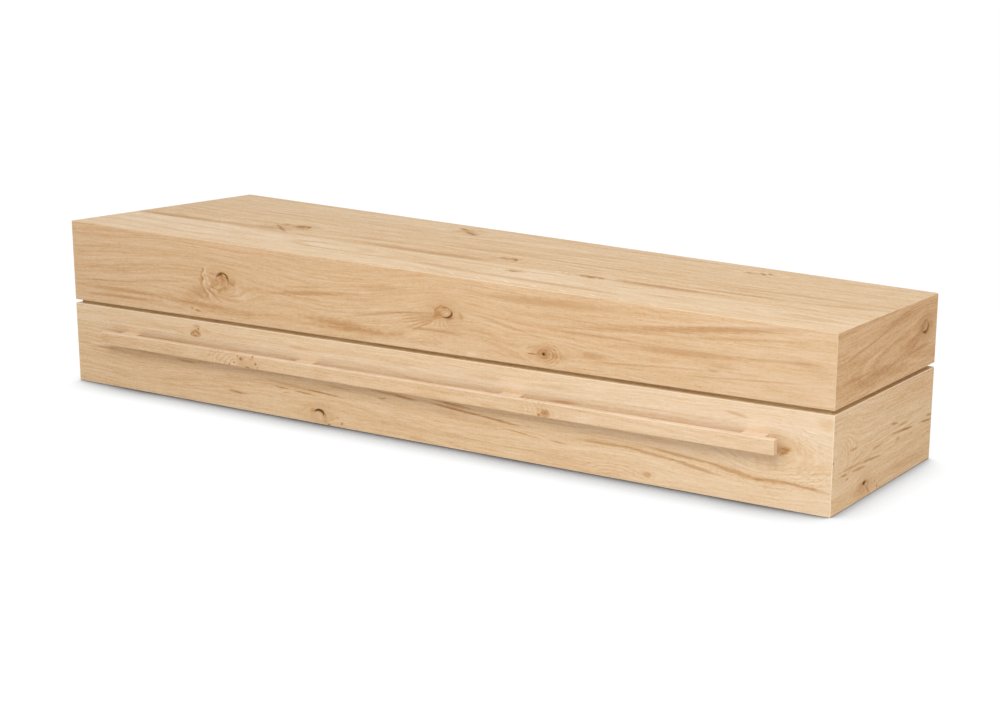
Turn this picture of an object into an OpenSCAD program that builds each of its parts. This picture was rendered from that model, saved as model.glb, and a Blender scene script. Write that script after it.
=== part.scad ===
// Oak coffin with a lift-off lid, lying with its head end towards -X and its foot end towards +X.
// All sizes are in millimetres. The origin is on the ground, under the middle of the length.
// The plan narrows evenly from head to foot and the top falls evenly from head to foot, while the
// joint between the base box and the lid stays level.

/* [Plan] */
// Length over the two end walls
length = 2050; // [1700:10:2500]
// Width over the side walls at the head end
head_w = 644; // [540:2:800]
// Width over the side walls at the foot end
foot_w = 504; // [420:2:800]

/* [Base box] */
// Height of the base box
base_h = 202; // [170:1:300]
// Thickness of the base walls
base_wall_t = 22; // [18:1:30]
// Thickness of the floor board
floor_t = 18; // [12:1:28]

/* [Lid] */
// Height of the lid at the head end
lid_head_h = 201; // [120:1:280]
// Height of the lid at the foot end
lid_foot_h = 150; // [100:1:280]
// Thickness of the lid's walls and top
lid_t = 22; // [18:1:30]

/* [Shadow gap] */
// Height of the open joint between the base and the lid
gap_h = 9; // [4:1:16]
// Depth of the open joint, in from the outer faces
gap_d = 12; // [8:1:15]
// Width of the rim rails that carry the lid
rail_w = 20; // [16:1:30]
// Depth to which the rails are let into the base walls
rail_seat = 20; // [10:1:40]
// Height to which the rails stand up inside the lid's rebate
rail_lip = 10; // [6:1:20]
// Clearance around the rails in the lid's rebate
lip_clear = 0.5; // [0.2:0.1:1.5]

/* [Carrying bars] */
// Height of the bars
bar_h = 31; // [20:1:45]
// Thickness of the bars
bar_t = 15; // [10:1:30]
// Width of the chamfer along the bars' four edges
bar_arris = 1; // [0.5:0.25:3]
// Height of the bars' undersides above the ground
bar_under = 115; // [60:1:120]
// Room for the fingers between a bar and its wall
finger_gap = 19; // [14:1:40]
// Number of spacer blocks behind each bar
block_count = 4; // [2:1:6]
// Length of each spacer block
block_l = 50; // [30:1:80]
// Distance from the head corner to the first spacer block
block_head = 177; // [80:1:260]
// Distance from the last spacer block to the foot corner
block_foot = 133; // [80:1:260]
// Length of bar beyond the first spacer block
bar_over_head = 51; // [0:1:75]
// Length of bar beyond the last spacer block
bar_over_foot = 27; // [0:1:75]

/* [Hidden] */
// The four corners and the four walls are numbered round the plan, starting at the front wall's
// head corner: wall i runs from corner i to corner i + 1.
FRONT = 0;
FOOT = 1;
BACK = 2;
HEAD = 3;
slack = 5;
taper = (head_w - foot_w) / 2 / length;
taper_angle = atan(taper);
wall_length = length / cos(taper_angle);
lid_z = base_h + gap_h;
top_fall = (lid_head_h - lid_foot_h) / length;
top_slope = atan(top_fall);
top_z = lid_z + max(lid_head_h, lid_foot_h) + slack;
bar_from = block_head - bar_over_head;
bar_to = wall_length - block_foot + bar_over_foot;
block_pitch = (wall_length - block_head - block_foot - block_l) / (block_count - 1);

OAK_PALE = [0.80, 0.72, 0.62];
OAK_WARM = [0.75, 0.64, 0.52];
OAK_TOP = [0.82, 0.75, 0.66];
OAK_BAR = [0.77, 0.68, 0.59];
OAK_RIM = [0.62, 0.48, 0.33];

SIDES = ["front", "back"];

// Half the width of the plan at x, inset from the side walls' outer faces.
function half_width(x, inset) =
    (head_w + foot_w) / 4 - x * taper - inset / cos(taper_angle);

// Corner i of the plan, inset from the outer faces of the walls.
function corner(i, inset) =
    let (
        c = i % 4,
        x = (c == 1 || c == 2 ? 1 : -1) * (length / 2 - inset),
        side = c > 1 ? 1 : -1
    ) [x, side * half_width(x, inset)];

// Direction and length of wall i in the plan. The inside of the plan is to the wall's left.
function wall_run(i) = corner(i + 1, 0) - corner(i, 0);
function wall_yaw(i) = atan2(wall_run(i).y, wall_run(i).x);

// Height of the lid's upper surface at x.
function top_at(x) = lid_z + (lid_head_h + lid_foot_h) / 2 - x * top_fall;

// The share of wall i in the ring between two insets, mitred at both corners, from z0 to z1.
module mitred_strip(i, inset0, inset1, z0, z1)
    translate([0, 0, z0])
        linear_extrude(z1 - z0)
            polygon([corner(i, inset0), corner(i + 1, inset0),
                     corner(i + 1, inset1), corner(i, inset1)]);

// All that lies deeper than the inset behind the outer face of wall i, from z0 to z1.
module behind_face(i, inset, z0, z1)
    translate([corner(i, 0).x, corner(i, 0).y, z0])
        rotate([0, 0, wall_yaw(i)])
            translate([-slack, inset, 0])
                cube([norm(wall_run(i)) + 2 * slack, max(base_wall_t, lid_t) + slack, z1 - z0]);

// All that lies on the wall's side of the mitre between wall i and the lid's top. The mitre runs
// through the upper edge of the wall and halves the angle between the wall and the top.
module below_mitre(i) {
    a = corner(i, 0);
    run = norm(wall_run(i));
    rise = top_at(corner(i + 1, 0).x) - top_at(a.x);
    across = -sin(top_slope) * sin(wall_yaw(i));
    lean = (1 + across) / sqrt(1 - across * across);
    inner = lid_t + slack;
    outer = max(head_w, foot_w);
    translate([a.x, a.y, top_at(a.x)])
        rotate([0, -atan2(rise, run), wall_yaw(i)])
            translate([-2 * slack, 0, 0])
                rotate([90, 0, 90])
                    linear_extrude(norm([run, rise]) + 4 * slack)
                        polygon([[-outer, lean * outer], [-outer, -top_z],
                                 [inner, -top_z], [inner, -lean * inner]]);
}

// The layer of thickness lid_t below the lid's sloping upper surface, wider than the plan.
module top_layer() {
    reach = length / 2 + slack;
    width = max(head_w, foot_w) + 2 * slack;
    drop = lid_t / cos(top_slope);
    translate([0, width / 2, 0])
        rotate([90, 0, 0])
            linear_extrude(width)
                polygon([[-reach, top_at(-reach) - drop], [reach, top_at(reach) - drop],
                         [reach, top_at(reach)], [-reach, top_at(-reach)]]);
}

// Base wall: a board on edge with a rebate along its upper inner edge for the rim rail.
module base_wall(i)
    color(OAK_PALE)
        difference() {
            mitred_strip(i, 0, base_wall_t, 0, base_h);
            behind_face(i, gap_d, base_h - rail_seat, base_h + slack);
        }

// Floor board between the base walls, flush with their lower edges.
module base_floor()
    color(OAK_PALE)
        linear_extrude(floor_t)
            polygon([for (i = [FRONT:HEAD]) corner(i, base_wall_t)]);

// Rim rail: let into the base wall, it crosses the open joint and its top carries the lid.
module rim_rail(i)
    color(OAK_RIM)
        mitred_strip(i, gap_d, gap_d + rail_w, base_h - rail_seat, lid_z + rail_lip);

// Lid wall: mitred to the top, with a rebate along its lower inner edge that drops over the rail.
module lid_wall(i)
    color(OAK_WARM)
        difference() {
            intersection() {
                mitred_strip(i, 0, lid_t, lid_z, top_z);
                below_mitre(i);
            }
            behind_face(i, gap_d - lip_clear, lid_z - slack, lid_z + rail_lip);
        }

// Lid top: a sloping board, mitred to the four lid walls.
module lid_top()
    color(OAK_TOP)
        difference() {
            top_layer();
            for (i = [FRONT:HEAD]) below_mitre(i);
        }

// Places what is drawn along +X, with its wall's outer face at y = 0, on a side wall.
module on_side_wall(side)
    mirror([0, side == "back" ? 1 : 0, 0])
        translate([corner(FRONT, 0).x, corner(FRONT, 0).y, 0])
            rotate([0, 0, taper_angle])
                children();

// Carrying bar: a long square-edged batten that runs parallel to its side wall.
module handle_bar(side) {
    a = bar_arris;
    color(OAK_BAR)
        on_side_wall(side)
            translate([bar_from, -finger_gap - bar_t, bar_under])
                rotate([90, 0, 90])
                    linear_extrude(bar_to - bar_from)
                        polygon([[a, 0], [bar_t - a, 0], [bar_t, a], [bar_t, bar_h - a],
                                 [bar_t - a, bar_h], [a, bar_h], [0, bar_h - a], [0, a]]);
}

// Spacer block n, between a side wall and its bar.
module handle_block(side, n)
    color(OAK_BAR)
        on_side_wall(side)
            translate([block_head + (n - 1) * block_pitch, -finger_gap, bar_under])
                cube([block_l, finger_gap, bar_h]);

base_wall(FRONT);  // base_side_front
base_wall(BACK);  // base_side_back
base_wall(HEAD);  // base_end_head
base_wall(FOOT);  // base_end_foot
base_floor();
rim_rail(FRONT);  // rim_rail_front
rim_rail(BACK);  // rim_rail_back
rim_rail(HEAD);  // rim_rail_head
rim_rail(FOOT);  // rim_rail_foot
lid_wall(FRONT);  // lid_side_front
lid_wall(BACK);  // lid_side_back
lid_wall(HEAD);  // lid_end_head
lid_wall(FOOT);  // lid_end_foot
lid_top();
handle_bar("front");  // handle_bar_front
handle_bar("back");  // handle_bar_back
for (side = SIDES, n = [1:block_count])
    handle_block(side, n);
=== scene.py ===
"""Oak coffin with a lift-off lid: the finish of its boards, the floor, the light and the camera."""
import math

import bmesh
import bpy
from mathutils import Matrix, Vector


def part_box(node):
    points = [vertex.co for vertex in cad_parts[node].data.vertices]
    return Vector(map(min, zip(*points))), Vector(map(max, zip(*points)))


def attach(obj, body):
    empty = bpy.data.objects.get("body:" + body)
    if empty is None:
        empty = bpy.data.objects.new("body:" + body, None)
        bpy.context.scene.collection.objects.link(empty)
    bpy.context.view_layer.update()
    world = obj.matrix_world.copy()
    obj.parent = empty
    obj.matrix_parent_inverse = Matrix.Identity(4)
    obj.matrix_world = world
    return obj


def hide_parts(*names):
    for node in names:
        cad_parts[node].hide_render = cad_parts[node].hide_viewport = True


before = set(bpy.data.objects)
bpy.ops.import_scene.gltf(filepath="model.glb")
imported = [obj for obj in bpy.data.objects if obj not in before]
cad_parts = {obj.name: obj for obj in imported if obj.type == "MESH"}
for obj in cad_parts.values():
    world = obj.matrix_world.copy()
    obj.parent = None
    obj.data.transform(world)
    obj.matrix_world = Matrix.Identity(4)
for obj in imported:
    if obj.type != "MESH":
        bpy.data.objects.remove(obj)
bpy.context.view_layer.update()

# Lengths are in metres.
UP = Vector((0, 0, 1))
ARRIS = 0.0013        # how far the edges of the assembled box are eased, on each face
HOLLOW_GRID = 0.001   # spacing of the mesh around a knot's hollow
SAME_POINT = 2e-6     # vertices this close are one
CUT_REACH = 1e-7      # a cut takes a vertex this close to be on its plane
ON_FACE = 1e-5        # a vertex this close to an outer face belongs to it


# ---------------- board frames

class Board:
    """A board's own frame: u runs along its grain, v across it and w inwards from its outer face."""

    def __init__(self, origin, along, across, inward):
        self.origin = Vector(origin)
        self.along = Vector(along).normalized()
        self.across = Vector(across).normalized()
        self.inward = Vector(inward).normalized()

    def local(self, point):
        offset = point - self.origin
        return offset.dot(self.along), offset.dot(self.across), offset.dot(self.inward)

    def point(self, u, v, w=0.0):
        return self.origin + self.along * u + self.across * v + self.inward * w

    def face(self):
        """The plane of the outer face: its outward normal and its distance from the origin."""
        return -self.inward, -self.inward.dot(self.origin)


def corners():
    """The four corners of the plan on the ground, from the CAD's two end walls."""
    head_low, head_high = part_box("base_end_head")
    foot_low, foot_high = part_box("base_end_foot")
    return {
        ("head", "front"): Vector((head_low.x, head_low.y, 0)),
        ("head", "back"): Vector((head_low.x, head_high.y, 0)),
        ("foot", "front"): Vector((foot_high.x, foot_low.y, 0)),
        ("foot", "back"): Vector((foot_high.x, foot_high.y, 0)),
    }


PLAN = corners()
BASE_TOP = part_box("base_end_head")[1].z
LID_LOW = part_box("lid_end_head")[0].z
LID_TOP_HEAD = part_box("lid_end_head")[1].z
LID_TOP_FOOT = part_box("lid_end_foot")[1].z


def side_board(side):
    run = PLAN["foot", side] - PLAN["head", side]
    inward = UP.cross(run) if side == "front" else run.cross(UP)
    return Board(PLAN["head", side], run, UP, inward)


def end_board(end):
    middle = (PLAN[end, "front"] + PLAN[end, "back"]) / 2
    inward = Vector((1 if end == "head" else -1, 0, 0))
    return Board(middle, Vector((0, 1, 0)), UP, inward)


def top_board():
    head = (PLAN["head", "front"] + PLAN["head", "back"]) / 2 + UP * LID_TOP_HEAD
    foot = (PLAN["foot", "front"] + PLAN["foot", "back"]) / 2 + UP * LID_TOP_FOOT
    across = Vector((0, 1, 0))
    return Board(head, foot - head, across, across.cross(foot - head))


FRONT = side_board("front")
BACK = side_board("back")
HEAD = end_board("head")
FOOT = end_board("foot")
TOP = top_board()
WALLS = {"side_front": FRONT, "side_back": BACK, "end_head": HEAD, "end_foot": FOOT}


# ---------------- node arithmetic

class Field:
    """A number that a material's nodes work out at each point, with the usual arithmetic."""

    def __init__(self, graph, socket):
        self.graph = graph
        self.socket = socket

    def __add__(self, other):
        return self.graph.math("ADD", self, other)

    __radd__ = __add__

    def __sub__(self, other):
        return self.graph.math("SUBTRACT", self, other)

    def __rsub__(self, other):
        return self.graph.math("SUBTRACT", other, self)

    def __mul__(self, other):
        return self.graph.math("MULTIPLY", self, other)

    __rmul__ = __mul__

    def __truediv__(self, other):
        return self.graph.math("DIVIDE", self, other)


class Graph:
    """Short names for the nodes of a new material or world."""

    def __init__(self, owner):
        self.owner = owner
        owner.use_nodes = True
        self.tree = owner.node_tree
        self.tree.nodes.clear()

    def node(self, kind, **settings):
        node = self.tree.nodes.new("ShaderNode" + kind)
        for name, value in settings.items():
            setattr(node, name, value)
        return node

    def feed(self, socket, value):
        if isinstance(value, Field):
            self.tree.links.new(value.socket, socket)
        elif isinstance(value, bpy.types.NodeSocket):
            self.tree.links.new(value, socket)
        else:
            socket.default_value = value

    def math(self, operation, *terms, clamp=False):
        node = self.node("Math", operation=operation, use_clamp=clamp)
        for socket, term in zip(node.inputs, terms):
            self.feed(socket, term)
        return Field(self, node.outputs[0])

    def clamped(self, value):
        return self.math("ADD", value, 0.0, clamp=True)

    def join(self, x, y, z=0.0):
        node = self.node("CombineXYZ")
        for socket, value in zip(node.inputs, (x, y, z)):
            self.feed(socket, value)
        return node.outputs[0]

    def length(self, x, y):
        return self.math("SQRT", self.math("MULTIPLY_ADD", y, y, x * x))

    def rise(self, value, low, high, top=1.0):
        """0 before low and top after high, smooth between. High may be the smaller of the two."""
        node = self.node("MapRange", interpolation_type="SMOOTHSTEP", clamp=False)
        for name, setting in (("Value", value), ("From Min", low), ("From Max", high), ("To Max", top)):
            self.feed(node.inputs[name], setting)
        return Field(self, node.outputs[0])

    def noise(self, place, detail=2.0, roughness=0.5, flat=True):
        """Soft noise about 0, roughly from -0.5 to 0.5, over the plane or through space."""
        node = self.node("TexNoise", noise_dimensions="2D" if flat else "3D")
        self.feed(node.inputs["Vector"], place)
        node.inputs["Scale"].default_value = 1.0
        node.inputs["Detail"].default_value = detail
        node.inputs["Roughness"].default_value = roughness
        return Field(self, node.outputs[0]) - 0.5

    def ramp(self, value, stops):
        node = self.node("ValToRGB")
        self.feed(node.inputs[0], value)
        elements = node.color_ramp.elements
        elements[0].position, elements[0].color = stops[0][0], (*stops[0][1], 1)
        elements[1].position, elements[1].color = stops[-1][0], (*stops[-1][1], 1)
        for position, colour in stops[1:-1]:
            elements.new(position).color = (*colour, 1)
        return node.outputs[0]

    def blend(self, share, first, second, mode="MIX"):
        node = self.node("Mix", data_type="RGBA", blend_type=mode)
        self.feed(node.inputs[0], share)
        for socket, colour in ((node.inputs[6], first), (node.inputs[7], second)):
            self.feed(socket, (*colour, 1) if isinstance(colour, tuple) else colour)
        return node.outputs[2]

    def either(self, share, first, second):
        """The first shader where share is 0 and the second where it is 1."""
        node = self.node("MixShader")
        for socket, value in zip(node.inputs, (share, first, second)):
            self.feed(socket, value)
        return node.outputs[0]

    def attribute(self, name):
        node = self.node("Attribute", attribute_name=name)
        return Field(self, node.outputs["Fac"])

    def close(self, shader, kind="OutputMaterial"):
        self.feed(self.node(kind).inputs["Surface"], shader)
        return self.owner


# ---------------- oak

OAK_TONES = (
    (0.00, (0.085, 0.036, 0.010)),
    (0.15, (0.250, 0.120, 0.038)),
    (0.30, (0.440, 0.240, 0.098)),
    (0.45, (0.575, 0.345, 0.166)),
    (0.60, (0.660, 0.455, 0.257)),
    (0.80, (0.745, 0.558, 0.372)),
    (1.00, (0.820, 0.655, 0.480)),
)
RED = (0.430, 0.215, 0.075)      # red-brown heartwood
PAINTED_HOLE_SHADE = (0.115, 0.040, 0.008)      # painted shade: the near-black of a knot's open hole, which is deeper than its dent
AMBER_AND_HOLE_LIGHT = (0.680, 0.360, 0.070)    # resin in a knot, and painted light on the lit inner wall of a knot's open hole
PAINTED_ARRIS_HIGHLIGHT = (0.860, 0.700, 0.510)     # painted highlight on the eased arrises
WARM = (1.0, 0.9, 0.8)           # the tint of the warmer areas

CREAM_LIFT = 0.3      # what a mark's cream adds to the tone
DARK_DROP = 0.6       # what its dark takes from the tone
DARK_RED = 0.7        # what its dark adds to the red-brown
RED_SHARE = 0.6       # what its red adds to the red-brown
STAVE_SHIFT = 7.31    # how far the grain's noise moves on from one stave to the next
RING_RATE = 15.7      # radians of a knot's rings from its middle to its rim
TORN = 0.8            # how far the fine noise tears the outline of a mark
BUMP_STRENGTH = 0.12
BUMP_HEIGHT = 0.0006
ROUGHNESS = 0.52


class Oak(Graph):
    """Plain-sawn oak on one board."""

    def __init__(self, name, board, seed, tone=0.5, strength=1.0):
        super().__init__(bpy.data.materials.new(name))
        self.seed = seed
        self.strength = strength
        self.board = board
        self.coordinates = self.node("TexCoord").outputs["Object"]
        self.ragged = self.early_noise(55.0, 420.0)
        self.wobble = self.early_noise(70.0, 90.0)
        offset = self.node("VectorMath", operation="SUBTRACT")
        self.feed(offset.inputs[0], self.coordinates)
        offset.inputs[1].default_value = board.origin
        self.u, self.v, self.w = (
            self.dot(offset.outputs[0], axis) for axis in (board.along, board.across, board.inward))
        self.place = self.join(self.u, self.v, 1.0)  # the 1 lets a dot product add a constant
        self.bend = 0.0
        self.shift = 0.0
        self.tone = tone
        self.red = 0.0
        self.amber = 0.0

    def early_noise(self, along, across):
        """Noise at so many waves a metre, from a mapping node alone, so that all marks can share it."""
        third = self.board.along.cross(self.board.across)
        turn = Matrix((self.board.along, self.board.across, third)).transposed().to_euler()
        node = self.node("Mapping", vector_type="TEXTURE")
        self.feed(node.inputs["Vector"], self.coordinates)
        node.inputs["Location"].default_value = self.board.point(0, -self.seed)
        node.inputs["Rotation"].default_value = turn
        node.inputs["Scale"].default_value = (1 / along, 1 / across, 1)
        return self.noise(node.outputs[0])

    def dot(self, vector, axis):
        node = self.node("VectorMath", operation="DOT_PRODUCT")
        self.feed(node.inputs[0], vector)
        node.inputs[1].default_value = axis
        return Field(self, node.outputs["Value"])

    def around(self, u, v, long, high, turn=0.0):
        """The place as seen from an ellipse about (u, v), turned by that many degrees, as a unit circle."""
        c, s = math.cos(math.radians(turn)), math.sin(math.radians(turn))
        x = self.dot(self.place, (c / long, s / long, -(u * c + v * s) / long))
        y = self.dot(self.place, (-s / high, c / high, (u * s - v * c) / high))
        return x, y

    def add(self, total, share, amount):
        return self.math("MULTIPLY_ADD", share, amount, total)

    def stave(self, low, tone):
        """Above low another stave begins, with its own grain, lighter or darker by tone."""
        above = self.math("GREATER_THAN", self.v, low)
        self.shift = self.add(self.shift, above, STAVE_SHIFT)
        self.tone = self.add(self.tone, above, tone)

    def fade(self, value, low, high, amount):
        """The tone changes by amount from low to high."""
        self.tone = self.rise(value, low, high, amount) + self.tone

    def swerve(self, u, v, long, high, above=1.0, below=1.0):
        """The grain parts around an ellipse, as a stream does around a stone."""
        x, y = self.around(u, v, long, high)
        reach = self.length(x, y)
        share = self.rise(y, 0.6, -0.6, (below - above) * high) + above * high
        self.bend = self.bend - y * share / self.math("MAXIMUM", reach * reach, 1.0)

    def lift(self, u, v, long, high, amount):
        """The grain swings up around (u, v), by amount at the most."""
        reach = self.length(*self.around(u, v, long, high))
        self.bend = self.bend - self.rise(reach, 1.0, 0.0, amount)

    def mark(self, share, dark=0.0, red=0.0, cream=0.0, amber=0.0):
        """Darkens or lightens the tone, and mixes in red-brown, or amber for resin and for painted light
        inside a knot's hole, where share is above 0.
        """
        if dark or cream:
            lift = cream * CREAM_LIFT - dark * self.strength * DARK_DROP
            self.tone = self.add(self.tone, share, lift)
        if dark or red:
            self.red = self.add(self.red, share, (dark * DARK_RED + red * RED_SHARE) * self.strength)
        if amber:
            self.amber = self.add(self.amber, share, amber)

    def knot(self, u, v, long, high, body=0.3, rim=0.0, halo=0.1, heart=0.0):
        """A knot: a warm body with faint rings, a broken dark rim and a halo that fades out."""
        reach = self.add(self.length(*self.around(u, v, long, high)), self.wobble, 0.5)
        ring = self.math("SINE", self.add(self.wobble * 6.0, reach, RING_RATE)) + 2.0
        self.mark(self.rise(reach, 1.15, 0.65) * ring, dark=body * 0.22, red=body * 0.25)
        if rim:
            line = self.rise(reach, 0.68, 0.98) * self.rise(reach, 1.32, 1.02)
            self.mark(line * self.rise(self.wobble + self.ragged, -0.15, 0.2), dark=rim)
        self.mark(self.rise(reach, 2.8, 0.9), dark=halo * 0.3, red=halo)
        if heart:
            self.mark(self.rise(reach, 0.55, 0.15), dark=heart)

    def streak(self, start, end, width, **amounts):
        """A tapering mark along the grain from start to end, as wide as width at its middle."""
        du, dv = end[0] - start[0], end[1] - start[1]
        middle = (start[0] + end[0]) / 2, (start[1] + end[1]) / 2
        turn = math.degrees(math.atan2(dv, du))
        reach = self.length(*self.around(*middle, math.hypot(du, dv) / 2, width / 2, turn))
        self.mark(self.rise(self.add(reach, self.ragged, TORN), 1.2, 0.3), **amounts)

    def streaks(self, *rows):
        """Several streaks, each with its start, end, width, dark and red."""
        for start, end, width, dark, red in rows:
            self.streak(start, end, width, dark=dark, red=red)

    def arc(self, u, v, long, high, middle, spread, width, **amounts):
        """A curved mark on the ellipse about (u, v). Middle and spread are its angles in degrees."""
        x, y = self.around(u, v, long, high)
        radius = self.length(x, y)
        reach = self.add(radius, self.wobble, 0.25)
        line = self.rise(self.math("ABSOLUTE", reach - 1.0), width / (long + high), 0.0)
        toward = self.add(x * math.cos(math.radians(middle)), y, math.sin(math.radians(middle))) / radius
        ends = self.rise(toward, math.cos(math.radians(spread)), math.cos(math.radians(spread * 0.4)))
        self.mark(line * ends * (1.0 + self.ragged * 1.5), **amounts)

    def patch(self, u, v, long, high, turn=0.0, **amounts):
        """A soft cloud of another tone, streaked along the grain."""
        reach = self.length(*self.around(u, v, long, high, turn))
        reach = self.add(self.add(reach, self.ragged, TORN), self.wobble, 0.6)
        self.mark(self.rise(reach, 1.15, 0.1), **amounts)

    def grain(self, pith, wander):
        """The distance from the pith, and the grain's figure and its fibres as fields about zero.

        The numbers in each join are waves a metre along the grain and across it.
        """
        seed = self.seed
        wide = self.noise(self.join(self.u * 1.7 + seed, self.shift + 3.0), detail=1.0)
        deep = self.noise(self.join(self.u * 2.3 + seed, self.shift + 9.0), detail=1.0)
        waves = self.noise(self.join(self.u * 7.0 + self.shift, self.v * 26.0 + seed), detail=1.0)
        across = self.add(self.v + self.bend, waves, 0.007)
        side = across - pith[0] + wide * wander[0] + self.shift * 0.013
        radius = self.length(side, self.w + pith[1] + deep * wander[1])
        broad = self.noise(self.join(self.u * 1.3 + seed, radius * 60.0 + self.shift))
        bands = self.noise(self.join(self.u * 5.0 + seed, radius * 230.0 + self.shift))
        dashes = self.noise(self.join(self.u * 20.0 + seed, across * 330.0 + self.shift), roughness=0.65)
        ring = self.math("FRACT", radius * 170.0 + broad * 3.0)
        ring = self.rise(ring, 0.0, 0.35) * self.rise(ring, 1.0, 0.6) - 0.5
        fibre_place = self.join(self.u * 75.0 + seed, across * 800.0, self.w * 800.0)
        fibre = self.noise(fibre_place, detail=1.0, flat=False)
        return radius, broad * 0.2 + bands * 0.26 + dashes * 0.30 + ring * 0.035, fibre

    def finish(self, pith, wander=(0.05, 0.03), contrast=1.0, tint=(1, 1, 1), edge=0.4, sheen=0.2):
        """Colours the grain around the pith, which lies at that height and depth, and adds the shader."""
        radius, figure, fibre = self.grain(pith, wander)
        pores = self.noise(self.join(self.u * 110.0 + self.seed, self.v * 1100.0), detail=0.0)
        pore = self.rise(pores, 0.1, 0.26)
        colour = self.ramp(self.tone + (figure + fibre * 0.24 - pore * 0.09) * contrast, OAK_TONES)
        warmth = self.noise(self.join(self.u * 2.1 + self.seed, radius * 30.0 - self.shift), detail=1.0)
        colour = self.blend(self.rise(warmth, -0.1, 0.35, 0.18), colour, WARM, "MULTIPLY")
        colour = self.blend(1.0, colour, tint, "MULTIPLY")
        colour = self.blend(self.clamped(self.red * (1.0 + figure * 2.0 + fibre * 1.5)), colour, RED)
        # painted shade: a knot's dent turns near-black where it is sunk, standing in for a deeper open hole
        colour = self.blend(self.clamped(self.attribute("hollow")), colour, PAINTED_HOLE_SHADE)
        if isinstance(self.amber, Field):
            colour = self.blend(self.clamped(self.amber), colour, AMBER_AND_HOLE_LIGHT)
        # painted highlight: the eased arris faces turn paler, by the share edge
        colour = self.blend(self.attribute("eased") * edge, colour, PAINTED_ARRIS_HIGHLIGHT)
        bump = self.node("Bump")
        bump.inputs["Strength"].default_value = BUMP_STRENGTH
        bump.inputs["Distance"].default_value = BUMP_HEIGHT
        self.feed(bump.inputs["Height"], fibre - pore * 0.6)
        shader = self.node("BsdfPrincipled")
        self.feed(shader.inputs["Base Color"], colour)
        self.feed(shader.inputs["Roughness"], ROUGHNESS - fibre * 0.15 + pore * 0.15)
        self.feed(shader.inputs["Normal"], bump.outputs[0])
        shader.inputs["Specular IOR Level"].default_value = sheen
        return self.close(shader.outputs[0])


LID_TINT = (1.0, 0.985, 1.005)
BASE_TINT = (1.07, 1.12, 1.20)
BASE_END_TINT = (1.08, 1.07, 1.06)
TOP_TINT = (1.07, 1.10, 1.14)
BAR_TINT = (1.04, 1.06, 1.12)
RIM_TINT = (0.86, 0.92, 0.80)
LID_END_TINT = (1.01, 0.92, 0.83)


def lid_front_oak():
    wood = Oak("oak_lid_front", FRONT, 3.0, tone=0.61, strength=1.1)
    wood.fade(wood.u, 1.4, 2.1, 0.05)
    wood.stave(0.2235, -0.02)
    lid_front_head_knot(wood)
    lid_front_middle_knot(wood)
    lid_front_foot_knot(wood)
    lid_front_head_grain(wood)
    lid_front_foot_grain(wood)
    return wood.finish(pith=(0.3, 0.05), contrast=0.95, tint=LID_TINT, edge=0.25)


def lid_front_head_knot(wood):
    wood.swerve(0.5, 0.303, 0.05, 0.027, above=0.5, below=0.9)
    wood.lift(0.43, 0.315, 0.46, 0.1, 0.024)
    wood.lift(0.56, 0.262, 0.12, 0.06, -0.012)
    wood.knot(0.501, 0.302, 0.025, 0.021, body=0.12, halo=0.06)
    wood.patch(0.508, 0.312, 0.017, 0.01, turn=-25, dark=0.26)
    wood.patch(0.505, 0.3, 0.014, 0.008, turn=-60, dark=0.12)
    wood.patch(0.515, 0.288, 0.006, 0.012, dark=0.14)
    wood.streak((0.466, 0.2935), (0.486, 0.284), 0.005, dark=0.3)
    wood.streak((0.478, 0.286), (0.5, 0.283), 0.0045, dark=0.18)
    wood.arc(0.512, 0.307, 0.072, 0.062, 196, 42, 0.016, dark=0.2, red=0.22)
    wood.arc(0.514, 0.309, 0.068, 0.058, 190, 48, 0.011, cream=0.75)
    wood.streaks(
        ((0.443, 0.334), (0.447, 0.322), 0.006, 0.34, 0), ((0.441, 0.318), (0.443, 0.3), 0.005, 0.28, 0),
        ((0.448, 0.289), (0.498, 0.258), 0.007, 0.26, 0.2))
    wood.streak((0.462, 0.296), (0.47, 0.268), 0.006, dark=0.1, cream=0.1)
    for n in range(4):
        u, v = 0.452 + 0.006 * n, 0.322 - 0.013 * n
        wood.patch(u, v, 0.007, 0.004, turn=-50, cream=0.6)
    wood.patch(0.566, 0.276, 0.036, 0.016, turn=-12, cream=0.4)
    wood.patch(0.426, 0.272, 0.052, 0.022, turn=16, dark=0.13, red=0.18)
    wood.streaks(
        ((0.524, 0.309), (0.548, 0.296), 0.006, 0.18, 0.2),
        ((0.402, 0.2335), (0.408, 0.2305), 0.005, 0.4, 0.35),
        ((0.414, 0.2275), (0.432, 0.226), 0.005, 0.32, 0.35))
    # painted light: amber on the lit inner wall of this knot's open hole, over its painted shade
    wood.streak((0.499, 0.325), (0.519, 0.316), 0.004, amber=1.0)


def lid_front_head_grain(wood):
    wood.streaks(
        ((0.0, 0.25), (0.34, 0.252), 0.012, 0.14, 0.15), ((0.005, 0.232), (0.33, 0.237), 0.01, 0.18, 0.22),
        ((0.24, 0.248), (0.62, 0.238), 0.012, 0.12, 0.22), ((0.0, 0.265), (0.22, 0.277), 0.006, 0.14, 0),
        ((0.15, 0.27), (0.42, 0.3), 0.007, 0.1, 0.14), ((0.62, 0.292), (0.92, 0.318), 0.012, 0.16, 0.26),
        ((0.69, 0.312), (0.85, 0.327), 0.006, 0.1, 0.2))
    wood.streak((0.0, 0.318), (0.18, 0.333), 0.005, cream=0.4)
    wood.patch(0.98, 0.338, 0.09, 0.012, turn=3, dark=0.05, red=0.3)
    wood.patch(0.85, 0.2465, 0.13, 0.012, turn=-3, dark=0.12, red=0.34)
    wood.patch(0.92, 0.235, 0.16, 0.01, dark=0.08, red=0.34)


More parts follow.
